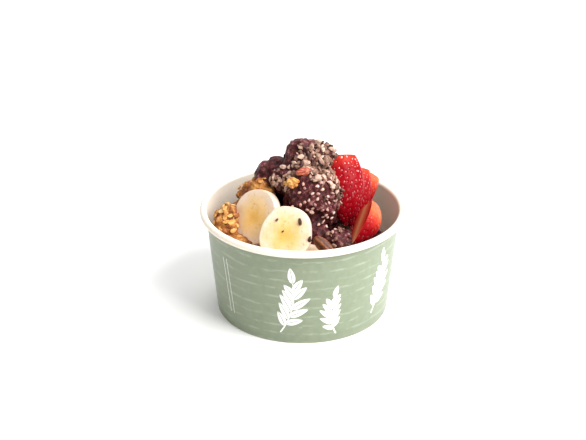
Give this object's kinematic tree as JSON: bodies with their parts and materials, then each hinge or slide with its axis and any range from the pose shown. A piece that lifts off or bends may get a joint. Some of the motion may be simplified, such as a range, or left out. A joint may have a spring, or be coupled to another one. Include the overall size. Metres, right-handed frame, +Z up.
{
  "type": "acai bowl",
  "caption": "Round paper bowl with a rolled rim, filled with a mound of dark acai sorbet, granola, banana slices, strawberry halves and cacao nibs.",
  "frame": {"origin": "centre of the bowl's foot, in the plane that it stands on", "axes": "+Z up along the bowl's axis; -Y towards the front, with the banana slices at the front left and the strawberries at the right"},
  "size_m": [0.115, 0.115, 0.0981],
  "materials": {
    "coated_board": "coated paperboard, sage green outside, white inside and on the rim, satin",
    "acai_sorbet": "moist dark purple frozen puree with brown nibs",
    "baked_oats": "rough toasted oat clusters",
    "banana_flesh": "moist cut fruit",
    "strawberry_skin": "glossy fruit skin with small seeds",
    "dried_goji": "wrinkled dried berry",
    "pecan_skin": "ridged nut skin"
  },
  "bodies": {
    "root": {"paper_bowl": "coated_board", "acai": "acai_sorbet", "granola": "baked_oats", "banana_slice_1": "banana_flesh", "banana_slice_2": "banana_flesh", "banana_slice_3": "banana_flesh", "strawberry_1": "strawberry_skin", "strawberry_2": "strawberry_skin", "strawberry_3": "strawberry_skin", "strawberry_4": "strawberry_skin", "goji_berry": "dried_goji", "granola_crumb": "baked_oats", "pecan_piece": "pecan_skin"}
  },
  "joints": []
}
